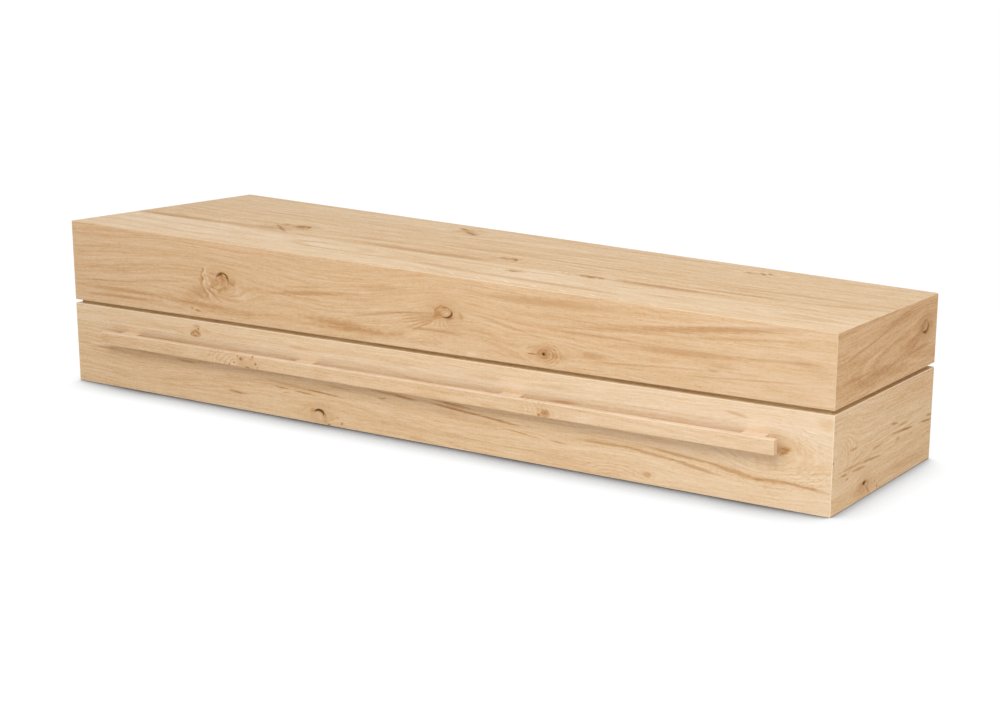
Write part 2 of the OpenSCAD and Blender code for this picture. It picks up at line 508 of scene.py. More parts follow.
def lid_front_middle_knot(wood):
    wood.swerve(1.153, 0.3, 0.045, 0.021, above=0.9, below=0.6)
    wood.lift(1.15, 0.29, 0.5, 0.13, 0.02)
    wood.lift(1.17, 0.285, 0.26, 0.1, 0.014)
    wood.knot(1.15, 0.3, 0.027, 0.017, body=0.16, halo=0.22)
    wood.arc(1.15, 0.3, 0.024, 0.015, 150, 80, 0.007, dark=0.16, red=0.35)
    wood.streak((1.1455, 0.312), (1.161, 0.314), 0.0042, dark=0.75)
    wood.patch(1.136, 0.299, 0.013, 0.008, turn=-20, dark=0.2, red=0.22)
    wood.patch(1.128, 0.2915, 0.014, 0.005, turn=15, dark=0.16, red=0.2)
    wood.patch(1.157, 0.2985, 0.01, 0.007, cream=0.5, amber=0.08)
    wood.streak((1.161, 0.3135), (1.164, 0.306), 0.003, dark=0.3)
    wood.streak((1.155, 0.2858), (1.178, 0.2925), 0.006, dark=0.3)
    for n in range(6):
        start = 1.0 + 0.012 * n, 0.286 - 0.007 * n
        wood.streak(start, (1.131, 0.298 - 0.0025 * n), 0.006, dark=0.17, red=0.26)
    wood.streak((0.87, 0.262), (1.1, 0.3), 0.008, dark=0.1, red=0.28)
    wood.streak((1.04, 0.2575), (1.205, 0.2605), 0.009, dark=0.17, red=0.25)
    for n in range(4):
        lean = 0.013 * (n - 1.5)
        wood.streak((1.138 + lean * 0.6, 0.285), (1.138 + lean * 1.2, 0.267), 0.0045, cream=0.5)
    wood.patch(1.194, 0.299, 0.012, 0.006, turn=-60, dark=0.12, red=0.25)
    wood.streak((1.2, 0.313), (1.44, 0.266), 0.006, dark=0.06, red=0.16)
    wood.streak((1.21, 0.3), (1.33, 0.282), 0.005, cream=0.35)


def lid_front_foot_knot(wood):
    wood.swerve(1.405, 0.2405, 0.05, 0.018)
    wood.knot(1.405, 0.241, 0.015, 0.01, body=0.4, rim=0.3, halo=0.25, heart=0.45)
    for n, strength in ((1, 0.26), (2, 0.22), (3, 0.12)):
        wood.arc(1.405, 0.2405, 0.014 + 0.009 * n, 0.01 + 0.005 * n, 0, 100, 0.006, dark=strength, red=0.1)
    wood.patch(1.43, 0.241, 0.008, 0.008, dark=0.22, red=0.2)
    wood.streak((1.362, 0.2382), (1.39, 0.2384), 0.004, dark=0.6)
    wood.patch(1.452, 0.24, 0.018, 0.01, dark=0.06, red=0.4)
    wood.patch(1.525, 0.252, 0.045, 0.01, dark=0.08, red=0.42)
    wood.patch(1.222, 0.219, 0.02, 0.006, cream=0.45)


def lid_front_foot_grain(wood):
    wood.streaks(
        ((1.2, 0.35), (1.62, 0.352), 0.022, 0.05, 0.42), ((1.38, 0.296), (1.66, 0.293), 0.007, 0.08, 0.35),
        ((1.56, 0.284), (1.9, 0.287), 0.016, 0.08, 0.5), ((1.82, 0.288), (2.05, 0.296), 0.008, 0.04, 0.4),
        ((1.6, 0.318), (2.05, 0.366), 0.018, 0.04, 0.42), ((1.68, 0.311), (2.02, 0.338), 0.007, 0.04, 0.32))
    wood.streak((1.66, 0.334), (1.98, 0.364), 0.005, cream=0.35)
    for n in range(8):
        start = 1.38 + 0.05 * n, 0.302 + 0.0055 * n
        wood.streak(start, (start[0] + 0.25, start[1] + 0.008), 0.0045, dark=0.08, red=0.28)
    for n in range(6):
        start = 1.5 + 0.075 * n, 0.238 + 0.005 * (n % 3)
        wood.streak(start, (start[0] + 0.13, start[1] + 0.007), 0.0045, dark=0.06, red=0.26)
    wood.patch(1.81, 0.268, 0.05, 0.01, turn=-8, red=0.4)
    wood.patch(1.795, 0.256, 0.014, 0.004, dark=0.08, red=0.5)
    wood.patch(2.0, 0.29, 0.06, 0.014, turn=-12, red=0.35)
    for n in range(4):
        wood.arc(1.74 + 0.04 * n, 0.246 + 0.006 * n, 0.036, 0.018, 0, 80, 0.007, red=0.22, cream=0.25)
    for n in range(3):
        wood.arc(2.05, 0.304 + 0.004 * n, 0.075 - 0.022 * n, 0.016, 180, 75, 0.006, red=0.25, cream=0.45)
        wood.arc(1.93 + 0.03 * n, 0.236, 0.05, 0.022, 60, 70, 0.006, red=0.15, cream=0.2)


def base_front_oak():
    wood = Oak("oak_base_front", FRONT, 11.0, tone=0.6)
    wood.fade(wood.u, 1.1, 2.1, 0.12)
    wood.stave(0.035, -0.02)
    wood.stave(0.161, 0.07)
    base_front_upper_knot(wood)
    base_front_lower_knot(wood)
    base_front_foot_knot(wood)
    base_front_cracks(wood)
    for n in range(4):
        wood.arc(1.575, 0.0, 0.022 + 0.022 * n, 0.01 + 0.007 * n, 90, 70, 0.006, dark=0.14, red=0.14)
    wood.patch(1.44, 0.022, 0.1, 0.012, dark=0.08, red=0.18)
    wood.swerve(1.655, 0.0205, 0.03, 0.008)
    wood.knot(1.655, 0.0205, 0.009, 0.005, body=0.45, rim=0.2)
    wood.streak((1.82, 0.181), (1.88, 0.172), 0.009, dark=0.12, red=0.35)
    wood.patch(2.038, 0.184, 0.026, 0.017, red=0.3, amber=0.18)
    # painted light: a paler band along the wall just above the carrying bar, lightening the shade there
    wood.streak((-0.1, 0.156), (2.15, 0.156), 0.034, cream=0.42)
    for u in (0.74, 1.03, 1.26, 1.43):
        wood.patch(u, 0.172, 0.05, 0.007, dark=0.06, red=0.2)
    wood.streak((1.415, 0.144), (1.495, 0.1455), 0.008, dark=0.24, red=0.4)
    return wood.finish(pith=(0.09, 0.05), contrast=0.95, tint=BASE_TINT, edge=0.9)


def base_front_upper_knot(wood):
    wood.swerve(0.414, 0.172, 0.035, 0.013)
    wood.patch(0.414, 0.171, 0.022, 0.012, dark=0.14, red=0.5)
    wood.streaks(
        ((0.394, 0.164), (0.413, 0.178), 0.007, 0.36, 0.3),
        ((0.41, 0.179), (0.432, 0.165), 0.007, 0.42, 0.3),
        ((0.394, 0.164), (0.43, 0.1635), 0.006, 0.36, 0.3))
    wood.patch(0.417, 0.187, 0.014, 0.007, dark=0.16, red=0.35)
    wood.patch(0.422, 0.1815, 0.004, 0.003, dark=0.55)
    wood.patch(0.449, 0.177, 0.016, 0.006, dark=0.08, red=0.2)


def base_front_lower_knot(wood):
    wood.swerve(0.794, 0.022, 0.04, 0.015)
    wood.knot(0.794, 0.019, 0.024, 0.018, body=0.1, halo=0.16)
    wood.arc(0.796, 0.021, 0.015, 0.014, 25, 70, 0.005, dark=0.34, red=0.35)
    wood.arc(0.79, 0.017, 0.026, 0.02, 20, 70, 0.005, dark=0.12, red=0.25)
    wood.patch(0.776, 0.03, 0.012, 0.007, dark=0.12, red=0.45)
    wood.patch(0.797, 0.015, 0.01, 0.01, turn=-50, cream=0.45)
    wood.streak((0.795, 0.027), (0.806, 0.019), 0.003, amber=0.6)
    wood.streak((0.806, 0.012), (0.82, 0.002), 0.005, dark=0.2)
    wood.patch(0.861, 0.01, 0.005, 0.004, dark=0.6)
    wood.patch(0.848, 0.022, 0.004, 0.003, dark=0.35)
    wood.patch(0.823, 0.002, 0.006, 0.004, dark=0.6)


def base_front_foot_knot(wood):
    wood.swerve(1.93, 0.112, 0.08, 0.036)
    wood.patch(1.95, 0.12, 0.03, 0.02, dark=0.1, red=0.3)
    wood.patch(1.95, 0.118, 0.02, 0.011, turn=35, dark=0.13, red=0.22)
    wood.streak((1.94, 0.106), (1.968, 0.125), 0.008, dark=0.26, red=0.25)
    wood.streak((1.945, 0.122), (1.966, 0.12), 0.007, dark=0.26, red=0.3)
    for n in range(6):
        wood.arc(1.91, 0.11, 0.066 + 0.02 * n, 0.026 + 0.009 * n, 285, 75, 0.006, dark=0.1, red=0.16)
    for n in range(4):
        wood.arc(1.93, 0.118, 0.05 + 0.016 * n, 0.03 + 0.01 * n, 40, 60, 0.006, dark=0.06, red=0.1)


# Dark cracks and pins in the base's front board: start, end, width, dark.
BASE_CRACKS = (
    ((0.735, 0.0785), (0.868, 0.0715), 0.0055, 0.4), ((0.653, 0.073), (0.705, 0.07), 0.005, 0.34),
    ((0.712, 0.0695), (0.792, 0.066), 0.005, 0.38), ((0.61, 0.088), (0.76, 0.077), 0.009, 0.16),
    ((0.68, 0.0595), (0.708, 0.0625), 0.004, 0.26), ((0.82, 0.094), (0.89, 0.093), 0.0045, 0.24),
    ((0.515, 0.044), (0.565, 0.0395), 0.006, 0.34), ((0.495, 0.045), (0.58, 0.04), 0.013, 0.14),
    ((0.935, 0.103), (1.075, 0.0965), 0.007, 0.28), ((1.005, 0.0985), (1.085, 0.0935), 0.0055, 0.3),
    ((0.965, 0.085), (0.995, 0.0872), 0.0045, 0.34), ((1.112, 0.094), (1.255, 0.0845), 0.0065, 0.46),
    ((1.225, 0.0865), (1.35, 0.0768), 0.0065, 0.46), ((1.118, 0.1022), (1.232, 0.0962), 0.006, 0.36),
    ((1.295, 0.0675), (1.4, 0.0565), 0.005, 0.26), ((1.415, 0.0575), (1.465, 0.0545), 0.005, 0.24),
    ((0.34, 0.0985), (0.42, 0.0945), 0.007, 0.22), ((0.03, 0.094), (0.165, 0.1), 0.006, 0.2),
    ((1.08, 0.08), (1.3, 0.069), 0.018, 0.08), ((0.9, 0.03), (1.35, 0.026), 0.014, 0.08),
)
# Red-brown streaks at its foot: start, end, width.
BASE_STREAKS = (
    ((1.48, 0.069), (1.64, 0.072), 0.008), ((1.59, 0.0725), (1.74, 0.059), 0.008),
    ((1.7, 0.063), (1.82, 0.0455), 0.01), ((1.64, 0.08), (1.815, 0.066), 0.008),
    ((1.775, 0.07), (1.91, 0.05), 0.01), ((1.87, 0.0515), (1.985, 0.056), 0.009),
    ((1.95, 0.0555), (2.055, 0.047), 0.008),
)


def base_front_cracks(wood):
    for start, end, width, dark in BASE_CRACKS:
        wood.streak(start, end, width, dark=dark, red=0.1)
    for start, end, width in BASE_STREAKS:
        wood.streak(start, end, width, dark=0.22, red=0.5)


def lid_foot_oak():
    wood = Oak("oak_lid_foot", FOOT, 31.0, tone=0.6, strength=1.3)
    wood.stave(0.2235, -0.03)
    wood.swerve(0.19, 0.298, 0.04, 0.02, above=0.9, below=0.7)
    wood.streak((0.179, 0.3115), (0.196, 0.3135), 0.0045, dark=0.75)
    wood.lift(0.2, 0.28, 0.46, 0.15, 0.044)
    wood.knot(0.188, 0.2985, 0.024, 0.017, body=0.18, halo=0.28)
    wood.arc(0.189, 0.2985, 0.019, 0.014, 170, 80, 0.006, dark=0.34, red=0.3)
    wood.arc(0.19, 0.298, 0.018, 0.0135, -50, 80, 0.006, dark=0.7)
    wood.patch(0.172, 0.297, 0.014, 0.009, dark=0.24, red=0.3)
    wood.patch(0.193, 0.298, 0.008, 0.007, cream=0.6)
    wood.patch(0.222, 0.3, 0.012, 0.006, turn=-60, dark=0.14, red=0.2)
    for n in range(5):
        start = 0.03 + 0.015 * n, 0.27 - 0.005 * n
        wood.streak(start, (0.17, 0.295 - 0.003 * n), 0.007, dark=0.15, red=0.18)
    wood.streak((0.1, 0.257), (0.23, 0.261), 0.009, dark=0.18, red=0.2)
    wood.patch(-0.07, 0.243, 0.12, 0.013, dark=0.13, red=0.28)
    wood.patch(0.05, 0.236, 0.08, 0.01, dark=0.1, red=0.2)
    wood.streaks(
        ((-0.12, 0.318), (0.16, 0.35), 0.014, 0.1, 0.18), ((-0.25, 0.29), (0.02, 0.33), 0.007, 0.1, 0.12),
        ((-0.26, 0.254), (-0.06, 0.256), 0.008, 0.14, 0.12))
    wood.streak((-0.25, 0.262), (0.0, 0.292), 0.006, cream=0.3)
    return wood.finish(pith=(0.34, 0.05), contrast=1.35, tint=LID_END_TINT)


# Dark cracks and pins in the base's foot board: start, end, dark.
FOOT_CRACKS = (
    ((-0.225, 0.081), (-0.105, 0.078), 0.2), ((-0.213, 0.072), (-0.18, 0.07), 0.34),
    ((-0.12, 0.077), (-0.018, 0.0708), 0.46), ((-0.162, 0.07), (-0.086, 0.065), 0.36),
    ((-0.07, 0.092), (-0.01, 0.0935), 0.26), ((-0.175, 0.1145), (-0.135, 0.1135), 0.28),
    ((0.02, 0.103), (0.155, 0.0935), 0.4), ((0.085, 0.0985), (0.145, 0.0945), 0.34),
    ((0.025, 0.125), (0.068, 0.1185), 0.36), ((0.065, 0.113), (0.125, 0.1105), 0.24),
    ((0.182, 0.094), (0.256, 0.0875), 0.5), ((0.215, 0.103), (0.256, 0.0985), 0.36),
    ((0.058, 0.085), (0.08, 0.0865), 0.26), ((-0.19, 0.059), (-0.172, 0.06), 0.28),
)


def base_foot_oak():
    wood = Oak("oak_base_foot", FOOT, 37.0, tone=0.58)
    wood.fade(wood.u, 0.25, -0.25, 0.07)
    wood.stave(0.035, 0.04)
    wood.stave(0.161, -0.04)
    wood.swerve(-0.215, 0.112, 0.06, 0.034)
    for n in range(6):
        wood.arc(-0.222, 0.114, 0.016 + 0.013 * n, 0.012 + 0.008 * n, -10, 95, 0.005, dark=0.12, red=0.1)
    wood.patch(-0.2475, 0.106, 0.004, 0.004, dark=0.7)
    wood.swerve(-0.093, 0.026, 0.035, 0.012)
    wood.knot(-0.092, 0.026, 0.022, 0.015, body=0.14, halo=0.2)
    wood.arc(-0.094, 0.026, 0.016, 0.01, 60, 110, 0.005, dark=0.3, red=0.2)
    wood.streak((-0.092, 0.027), (-0.066, 0.003), 0.007, dark=0.3, red=0.25)
    wood.patch(-0.084, 0.016, 0.006, 0.01, turn=20, cream=0.4)
    wood.patch(-0.031, 0.009, 0.006, 0.004, dark=0.5)
    wood.patch(-0.043, 0.022, 0.004, 0.003, dark=0.25)
    wood.patch(0.15, 0.022, 0.11, 0.012, dark=0.1, red=0.1)
    for start, end, dark in FOOT_CRACKS:
        wood.streak(start, end, 0.0065, dark=dark, red=0.3)
    return wood.finish(pith=(0.09, 0.05), contrast=1.2, tint=BASE_END_TINT, edge=0.9)


# Bands and streaks of the top, back stave and middle first: start, end, width, dark, red.
TOP_BANDS = (
    ((-0.05, -0.092), (0.34, -0.084), 0.036, 0.16, 0.3), ((0.26, -0.078), (0.52, -0.07), 0.04, 0.1, 0.22),
    ((0.7, -0.082), (1.14, -0.078), 0.044, 0.14, 0.26), ((0.56, -0.036), (0.88, -0.018), 0.016, 0.12, 0.12),
    ((0.9, 0.022), (1.2, 0.04), 0.03, 0.1, 0.1), ((0.2, 0.118), (0.52, 0.13), 0.018, 0.1, 0.05),
    ((0.52, 0.142), (0.8, 0.156), 0.014, 0.08, 0.06), ((1.08, 0.026), (1.62, 0.03), 0.018, 0.1, 0.22),
    ((1.6, 0.008), (2.05, 0.042), 0.02, 0.06, 0.24), ((1.62, -0.046), (1.9, -0.034), 0.02, 0.06, 0.3),
    ((1.86, -0.04), (2.05, -0.006), 0.024, 0.04, 0.34), ((1.42, -0.086), (1.72, -0.076), 0.022, 0.12, 0.2),
    ((1.02, 0.24), (1.6, 0.238), 0.016, 0.1, 0.06), ((1.16, 0.118), (1.32, 0.13), 0.016, 0.08, 0.04),
    ((1.32, 0.176), (1.6, 0.172), 0.012, 0.1, 0.05), ((0.52, -0.149), (0.88, -0.152), 0.008, 0.1, 0.12),
    ((0.5, -0.196), (1.06, -0.201), 0.012, 0.1, 0.12), ((0.0, -0.165), (0.6, -0.175), 0.014, 0.03, 0.24),
    ((1.0, -0.128), (1.4, -0.124), 0.01, 0.06, 0.1), ((0.98, -0.19), (1.18, -0.204), 0.022, 0.14, 0.24),
    ((1.08, -0.21), (1.62, -0.208), 0.026, 0.12, 0.24), ((1.44, -0.146), (1.78, -0.14), 0.008, 0.07, 0.08),
    ((1.46, -0.17), (1.7, -0.168), 0.008, 0.08, 0.08),
)


def lid_top_oak():
    wood = Oak("oak_lid_top", TOP, 50.0, tone=0.68, strength=1.25)
    wood.fade(wood.v, 0.05, 0.32, 0.05)
    wood.fade(wood.u, 1.4, 2.05, 0.04)
    wood.stave(-0.103, -0.09)
    wood.swerve(0.497, -0.01, 0.075, 0.028, above=0.6)
    wood.lift(0.47, -0.06, 0.3, 0.07, -0.014)
    wood.knot(0.494, -0.008, 0.026, 0.022, body=0.16, halo=0.14)
    wood.patch(0.492, -0.006, 0.024, 0.016, turn=-35, dark=0.4, red=0.2)
    wood.patch(0.45, -0.055, 0.07, 0.03, dark=0.08, red=0.2)
    for n in range(4):
        wood.streak((0.424 + 0.014 * n, -0.018 - 0.01 * n), (0.48 + 0.012 * n, -0.07 - 0.008 * n), 0.012,
                    dark=0.14, red=0.15)
    wood.streaks(*TOP_BANDS)
    wood.swerve(0.853, 0.212, 0.09, 0.035)
    wood.patch(0.85, 0.212, 0.06, 0.036, turn=-35, dark=0.1)
    wood.streaks(
        ((0.795, 0.25), (0.84, 0.228), 0.016, 0.36, 0.2), ((0.812, 0.243), (0.826, 0.232), 0.01, 0.4, 0),
        ((0.832, 0.22), (0.898, 0.18), 0.018, 0.34, 0.2))
    wood.patch(1.06, -0.068, 0.11, 0.034, dark=0.06, red=0.14)
    wood.swerve(1.15, -0.03, 0.06, 0.022)
    wood.patch(1.138, -0.03, 0.034, 0.016, turn=-12, dark=0.26, red=0.4)
    wood.streak((1.136, -0.01), (1.164, -0.03), 0.01, dark=0.3)
    wood.streak((1.152, -0.014), (1.172, -0.042), 0.011, dark=0.52)
    wood.swerve(1.4, -0.086, 0.075, 0.018)
    wood.patch(1.398, -0.086, 0.044, 0.017, dark=0.24, red=0.4)
    wood.patch(1.402, -0.087, 0.016, 0.012, dark=0.4)
    wood.streak((1.366, -0.08), (1.386, -0.092), 0.008, dark=0.3)
    wood.streak((1.414, -0.078), (1.438, -0.092), 0.008, dark=0.3, red=0.2)
    wood.patch(1.56, -0.084, 0.18, 0.018, dark=0.06, red=0.42)
    wood.swerve(1.236, -0.141, 0.045, 0.014)
    wood.patch(1.236, -0.141, 0.026, 0.013, turn=10, dark=0.3, red=0.4)
    wood.streak((1.22, -0.138), (1.242, -0.152), 0.009, dark=0.28)
    wood.swerve(1.676, 0.198, 0.06, 0.02)
    wood.patch(1.65, 0.19, 0.034, 0.014, dark=0.14, red=0.3)
    wood.streaks(
        ((1.66, 0.206), (1.684, 0.182), 0.012, 0.46, 0.2),
        ((1.676, 0.212), (1.692, 0.194), 0.011, 0.42, 0.2), ((1.63, 0.196), (1.648, 0.184), 0.009, 0.34, 0))
    for n in range(9):
        u = 1.06 + 0.072 * n
        wood.streak((u, -0.24 - 0.003 * (n % 3)), (u + 0.032, -0.262), 0.004, cream=1.2)
    return wood.finish(pith=(-0.16, 0.09), contrast=1.5, tint=TOP_TINT, edge=0.25, sheen=0.1)


def bar_oak(side):
    wood = Oak("oak_bar_" + side, bar_board(side), 80.0, tone=0.62)
    low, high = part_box("handle_bar_" + side)
    top = high.z - low.z
    wood.fade(wood.u, 1.1, 2.0, 0.07)
    # painted light: the top faces of the bar and its blocks made paler, as if lit from above
    wood.fade(wood.v, top - 0.002, top - 0.0005, 0.22)
    for u, v, size in ((0.577, 0.0252, 0.0024), (0.5865, 0.0196, 0.0042), (0.624, 0.0289, 0.0026),
                       (0.633, 0.0122, 0.003), (0.6386, 0.0048, 0.0026), (0.566, 0.0085, 0.0024),
                       (0.551, 0.003, 0.0026), (1.4145, 0.004, 0.004)):
        wood.patch(u, v, size * 1.4, size, dark=0.75, red=0.3)
    wood.patch(0.6076, 0.002, 0.009, 0.003, dark=0.6, red=0.3)
    wood.swerve(0.595, 0.014, 0.06, 0.012)
    wood.swerve(1.43, 0.01, 0.03, 0.012)
    wood.knot(1.43, 0.01, 0.0095, 0.0078, body=0.5, rim=0.35, heart=0.3)
    for n in range(6):
        wood.arc(0.58, 0.002, 0.03 + 0.014 * n, 0.016 + 0.007 * n, 150, 55, 0.005, dark=0.14, red=0.14)
        wood.arc(1.346, 0.01, 0.03 + 0.012 * n, 0.014 + 0.006 * n, 20, 50, 0.005, dark=0.08, red=0.14)
    wood.patch(0.6, 0.012, 0.055, 0.015, dark=0.08, red=0.22)
    wood.patch(1.424, 0.01, 0.03, 0.014, dark=0.04, red=0.2)
    return wood.finish(pith=(0.01, 0.03), wander=(0.03, 0.03), tint=BAR_TINT)


def plain_oak(name, board, seed, pith=(0.1, 0.06), tint=(1, 1, 1), tone=0.6):
    return Oak(name, board, seed, tone).finish(pith=pith, tint=tint)


def bar_board(side):
    """The frame of a carrying bar: parallel to its wall, with its outer face at w = 0."""
    wall = WALLS["side_" + side]
    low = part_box("handle_bar_" + side)[0]
    return Board(wall.point(0, low.z), wall.along, wall.across, wall.inward)


# ---------------- boards in mesh

def smooth(value, low, high):
    """0 before low and 1 after high, smooth between. High may be the smaller of the two."""
    t = min(max((value - low) / (high - low), 0.0), 1.0)
    return t * t * (3.0 - 2.0 * t)


class Hollow:
    """A dent in an outer face: an ellipse or, with a shift, the crescent that its shifted copy leaves."""

    def __init__(self, u, v, long, high, depth, shift=None):
        self.u, self.v, self.long, self.high = u, v, long, high
        self.depth, self.shift = depth, shift

    def bounds(self):
        """The stretch of u and the stretch of v that the dent needs, with a narrow margin."""
        margin = 2 * HOLLOW_GRID
        long, high = self.long + margin, self.high + margin
        return (self.u - long, self.u + long), (self.v - high, self.v + high)

    def share(self, u, v):
        """How much of its depth the dent has at (u, v)."""
        x = (u - self.u) / self.long
        y = (v - self.v) / self.high
        inside = smooth(math.hypot(x, y), 1.0, 0.75)
        if self.shift is None:
            return inside
        return inside * smooth(math.hypot(x - self.shift[0], y - self.shift[1]), 0.8, 1.05)


def welded_copy(node):
    """A copy of a CAD node's mesh with its triangles merged into whole flat faces."""
    mesh = bmesh.new()
    mesh.from_mesh(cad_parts[node].data)
    bmesh.ops.remove_doubles(mesh, verts=mesh.verts, dist=SAME_POINT)
    bmesh.ops.dissolve_limit(mesh, angle_limit=math.radians(0.2), verts=mesh.verts, edges=mesh.edges)
    return mesh


def ease(mesh, planes, leg):
    """Cuts a chamfer along each outer edge where two of the planes meet, and marks its faces."""
    eased = mesh.faces.layers.float.new("eased")
    for i, (normal_a, reach_a) in enumerate(planes):
        for normal_b, reach_b in planes[i + 1:]:
            if normal_a.dot(normal_b) < -0.5:
                continue
            normal = normal_a + normal_b
            reach = reach_a + reach_b - leg * normal_a.cross(normal_b).length
            cut = bmesh.ops.bisect_plane(
                mesh, geom=mesh.verts[:] + mesh.edges[:] + mesh.faces[:], dist=CUT_REACH,
                plane_co=normal * reach / normal.length_squared, plane_no=normal, clear_outer=True)
            edges = [e for e in cut["geom_cut"] if isinstance(e, bmesh.types.BMEdge)]
            if edges:
                for face in bmesh.ops.edgeloop_fill(mesh, edges=edges)["faces"]:
                    face[eased] = 1.0


def slice_faces(mesh, faces, point, normal):
    """Cuts just these faces with a plane, and gives the faces that they became."""
    edges = {edge for face in faces for edge in face.edges}
    verts = {vert for face in faces for vert in face.verts}
    cut = bmesh.ops.bisect_plane(
        mesh, geom=[*verts, *edges, *faces], dist=CUT_REACH, plane_co=point, plane_no=normal)
    return [part for part in cut["geom"] if isinstance(part, bmesh.types.BMFace)]


def outer_face_at(mesh, board, u, v):
    """The face of the board's outer surface that holds the point (u, v)."""
    for face in mesh.faces:
        places = [board.local(vert.co) for vert in face.verts]
        if max(abs(w) for _, _, w in places) > ON_FACE:
            continue
        us, vs = [p[0] for p in places], [p[1] for p in places]
        if min(us) < u < max(us) and min(vs) < v < max(vs):
            return face
    raise ValueError(f"no outer face at {u}, {v}")


def sink(mesh, board, group):
    """Cuts a fine grid into the outer face around a group of hollows and presses them in."""
    depth = mesh.verts.layers.float.get("hollow") or mesh.verts.layers.float.new("hollow")
    bounds = [hollow.bounds() for hollow in group]
    spans = [(min(b[i][0] for b in bounds), max(b[i][1] for b in bounds)) for i in (0, 1)]
    middle = board.point(sum(spans[0]) / 2, sum(spans[1]) / 2)
    cells = [outer_face_at(mesh, board, sum(spans[0]) / 2, sum(spans[1]) / 2)]
    for axis, (low, high) in zip((board.along, board.across), spans):
        for end in (low - high, high - low):
            edge = middle + axis * end / 2
            cells = slice_faces(mesh, cells, edge, axis)
            cells = [f for f in cells if (edge - f.calc_center_median()).dot(axis) * end > 0]
    for axis, (low, high) in zip((board.along, board.across), spans):
        steps = math.ceil((high - low) / HOLLOW_GRID)
        for n in range(1, steps):
            cells = slice_faces(mesh, cells, middle + axis * (high - low) * (n / steps - 0.5), axis)
    for face in cells:
        face.smooth = True
    for vert in {vert for face in cells for vert in face.verts}:
        u, v, _ = board.local(vert.co)
        shares = [(hollow.share(u, v), hollow.depth) for hollow in group]
        vert[depth] = max(share for share, _ in shares)
        if vert[depth] > 0:
            vert.co = board.point(u, v, max(share * deep for share, deep in shares))


def panel(node, board, material, planes, hollows=()):
    """A board: the CAD node's shape with eased arrises and the open parts of its knots."""
    mesh = welded_copy(node)
    ease(mesh, planes, ARRIS)
    for group in hollows:
        sink(mesh, board, group)
    data = bpy.data.meshes.new(node + "_board")
    bmesh.ops.dissolve_degenerate(mesh, dist=SAME_POINT, edges=mesh.edges)
    bmesh.ops.recalc_face_normals(mesh, faces=mesh.faces)
    mesh.to_mesh(data)
    mesh.free()
    data.materials.append(material)
    piece = bpy.data.objects.new(node + "_board", data)
    bpy.context.scene.collection.objects.link(piece)
    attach(piece, "root")
    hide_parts(node)


def outer_planes(low, high=None):
    """The planes that bound the base box or, with no height given, the lid."""
    walls = [board.face() for board in WALLS.values()]
    upper = TOP.face() if high is None else (UP, high)
    return walls + [(-UP, -low), upper]


def keep_cad(node, material):
    """A CAD node keeps its mesh and gets its finish."""
    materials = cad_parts[node].data.materials
    materials.clear()
    materials.append(material)


def plain_walls(part, seeds, pith, tint, planes):
    """The back and head walls of the base or the lid, in plain oak."""
    for name, seed in zip(("side_back", "end_head"), seeds):
        wood = plain_oak("oak_" + part + name, WALLS[name], seed, pith, tint)
        panel(part + name, WALLS[name], wood, planes)


def build_base():
    planes = outer_planes(0.0, BASE_TOP)
    panel("base_side_front", FRONT, base_front_oak(), planes, (
        [Hollow(0.793, 0.024, 0.0165, 0.012, 0.005, shift=(-0.2, -0.46))],))
    panel("base_end_foot", FOOT, base_foot_oak(), planes, (
        [Hollow(-0.094, 0.0305, 0.01, 0.0045, 0.004)],))
    plain_walls("base_", (41.0, 43.0), (0.09, 0.05), BASE_TINT, planes)
    keep_cad("base_floor", plain_oak("oak_inside", TOP, 60.0, tint=BASE_TINT))


def build_lid():
    planes = outer_planes(LID_LOW)
    panel("lid_side_front", FRONT, lid_front_oak(), planes, (
        [Hollow(0.505, 0.308, 0.0225, 0.0215, 0.0048, shift=(-0.1, -0.34))],
        [Hollow(1.155, 0.3005, 0.019, 0.013, 0.0038, shift=(-0.22, 0.2))],
        [Hollow(1.4035, 0.2405, 0.0035, 0.003, 0.003)]))
    panel("lid_end_foot", FOOT, lid_foot_oak(), planes, (
        [Hollow(0.19, 0.298, 0.018, 0.0135, 0.006, shift=(-0.24, 0.26))],))
    panel("lid_top", TOP, lid_top_oak(), planes, (
        [Hollow(0.497, -0.006, 0.024, 0.02, 0.006, shift=(-0.25, -0.18))],))
    plain_walls("lid_", (51.0, 53.0), (0.3, 0.05), LID_TINT, planes)


def build_rim():
    for name, board in WALLS.items():
        wood = plain_oak("oak_rim_" + name, board, 70.0, tint=RIM_TINT, tone=0.5)
        keep_cad("rim_rail_" + name.split("_")[1], wood)


def build_bars():
    for side in ("front", "back"):
        wood = bar_oak(side)
        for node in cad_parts:
            if node.startswith("handle_") and side in node:
                keep_cad(node, wood)


# ---------------- floor, light and camera

FLOOR_HALF = 30.0        # half the side of the floor
SHADOW_REACH = 0.14      # how near a thing has to be to darken the floor
CONTACT_REACH = 0.035    # the same for the narrow line of shadow right at the object
FLOOR_WHITE = 1.07       # strength of the floor's white
FLOOR_WHITE_SHARE = 0.9  # the rest of what the camera sees is the matt floor
SOFT_LIGHT = 0.62        # strength of the world's light


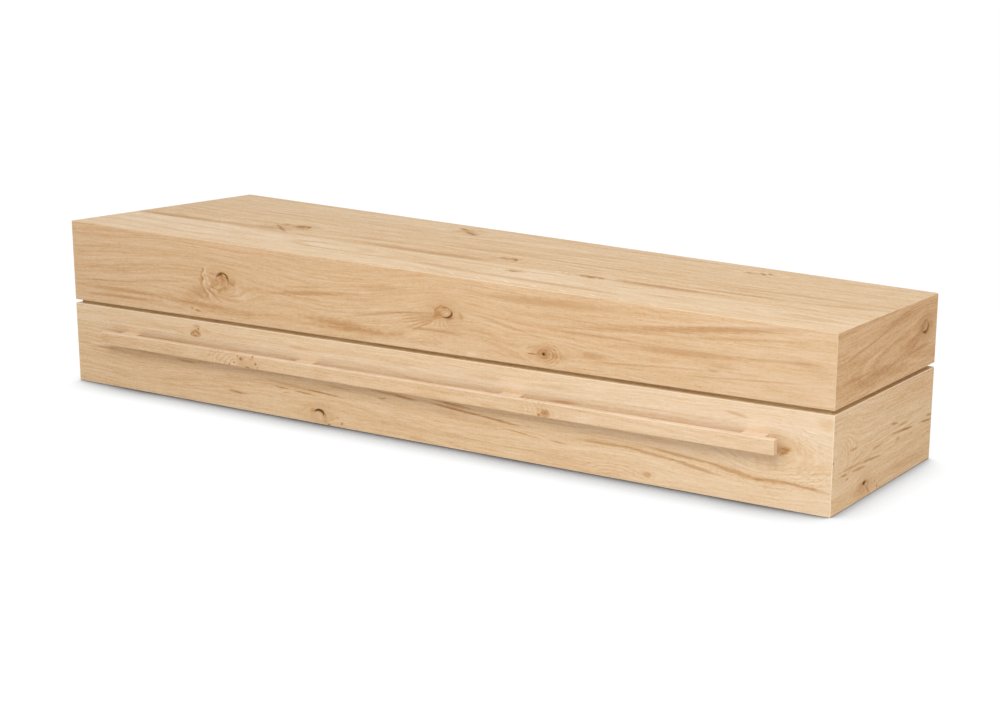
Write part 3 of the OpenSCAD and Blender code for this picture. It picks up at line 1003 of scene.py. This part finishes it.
def floor_material():
    """White to the camera, darker close to the object, and a pale matt floor to all other rays."""
    graph = Graph(bpy.data.materials.new("pale_floor"))
    near = graph.node("AmbientOcclusion", samples=16)
    near.inputs["Distance"].default_value = SHADOW_REACH
    graph.feed(near.inputs["Normal"], graph.join(-0.12, 0.3, 0.95))
    close = graph.node("AmbientOcclusion", samples=8)
    close.inputs["Distance"].default_value = CONTACT_REACH
    hidden = 1.0 - Field(graph, near.outputs["AO"])
    touch = 1.0 - Field(graph, close.outputs["AO"])
    shadow = hidden * hidden * hidden * 2.7 + touch * touch * 0.9
    shade = graph.math("SUBTRACT", 1.0, shadow, clamp=True)
    white = graph.node("Emission")
    graph.feed(white.inputs["Color"], graph.join(shade, shade, shade))
    white.inputs["Strength"].default_value = FLOOR_WHITE
    matt = graph.node("BsdfDiffuse")
    matt.inputs["Color"].default_value = (0.8, 0.8, 0.8, 1)
    seen = graph.either(FLOOR_WHITE_SHARE, matt.outputs[0], white.outputs[0])
    path = graph.node("LightPath")
    return graph.close(graph.either(path.outputs["Is Camera Ray"], matt.outputs[0], seen))


def build_floor():
    half = FLOOR_HALF
    square = [(-half, -half, 0), (half, -half, 0), (half, half, 0), (-half, half, 0)]
    data = bpy.data.meshes.new("floor")
    data.from_pydata(square, [], [(0, 1, 2, 3)])
    data.materials.append(floor_material())
    floor = bpy.data.objects.new("floor", data)
    bpy.context.scene.collection.objects.link(floor)


def build_world():
    """Even soft light, with plain white wherever the camera or a reflection sees past the floor."""
    world = bpy.data.worlds.new("studio")
    bpy.context.scene.world = world
    graph = Graph(world)
    path = graph.node("LightPath")
    seen = path.outputs["Is Camera Ray"]
    for ray in ("Is Glossy Ray", "Is Transmission Ray"):
        seen = graph.math("MAXIMUM", seen, path.outputs[ray])
    lights = []
    for strength in (SOFT_LIGHT, 1.0):
        light = graph.node("Background")
        light.inputs["Color"].default_value = (1, 1, 1, 1)
        light.inputs["Strength"].default_value = strength
        lights.append(light.outputs[0])
    graph.close(graph.either(seen, *lights), "OutputWorld")


def softbox(name, place, target, width, height, watts):
    """A rectangular lamp at place that faces target."""
    lamp = bpy.data.lights.new(name, "AREA")
    lamp.shape = "RECTANGLE"
    lamp.size = width
    lamp.size_y = height
    lamp.energy = watts
    box = bpy.data.objects.new(name, lamp)
    box.location = place
    box.rotation_euler = (Vector(target) - Vector(place)).to_track_quat("-Z", "Y").to_euler()
    bpy.context.scene.collection.objects.link(box)


def build_lights():
    softbox("front_box", (0.9, -2.5, 2.2), (0.1, 0.0, 0.2), 2.8, 1.4, 54.0)
    softbox("overhead_box", (0.0, 0.6, 2.8), (0.0, 0.0, 0.3), 3.0, 1.6, 9.0)
    softbox("foot_box", (3.6, -0.4, 1.2), (1.0, 0.0, 0.2), 1.4, 1.2, 12.0)


def build_camera():
    """The view of the front and the foot end from a little above."""
    lens = bpy.data.cameras.new("camera")
    lens.lens = 59.82
    lens.sensor_width = 36.0
    camera = bpy.data.objects.new("camera", lens)
    forward = Vector((-0.56572, 0.79444, -0.22097))
    camera.location = (2.2675, -3.0833, 1.0017)
    camera.rotation_euler = forward.to_track_quat("-Z", "Y").to_euler()
    bpy.context.scene.collection.objects.link(camera)
    bpy.context.scene.camera = camera


build_camera()
build_base()
build_lid()
build_rim()
build_bars()
build_floor()
build_world()
build_lights()
bpy.context.scene.view_settings.view_transform = "Standard"
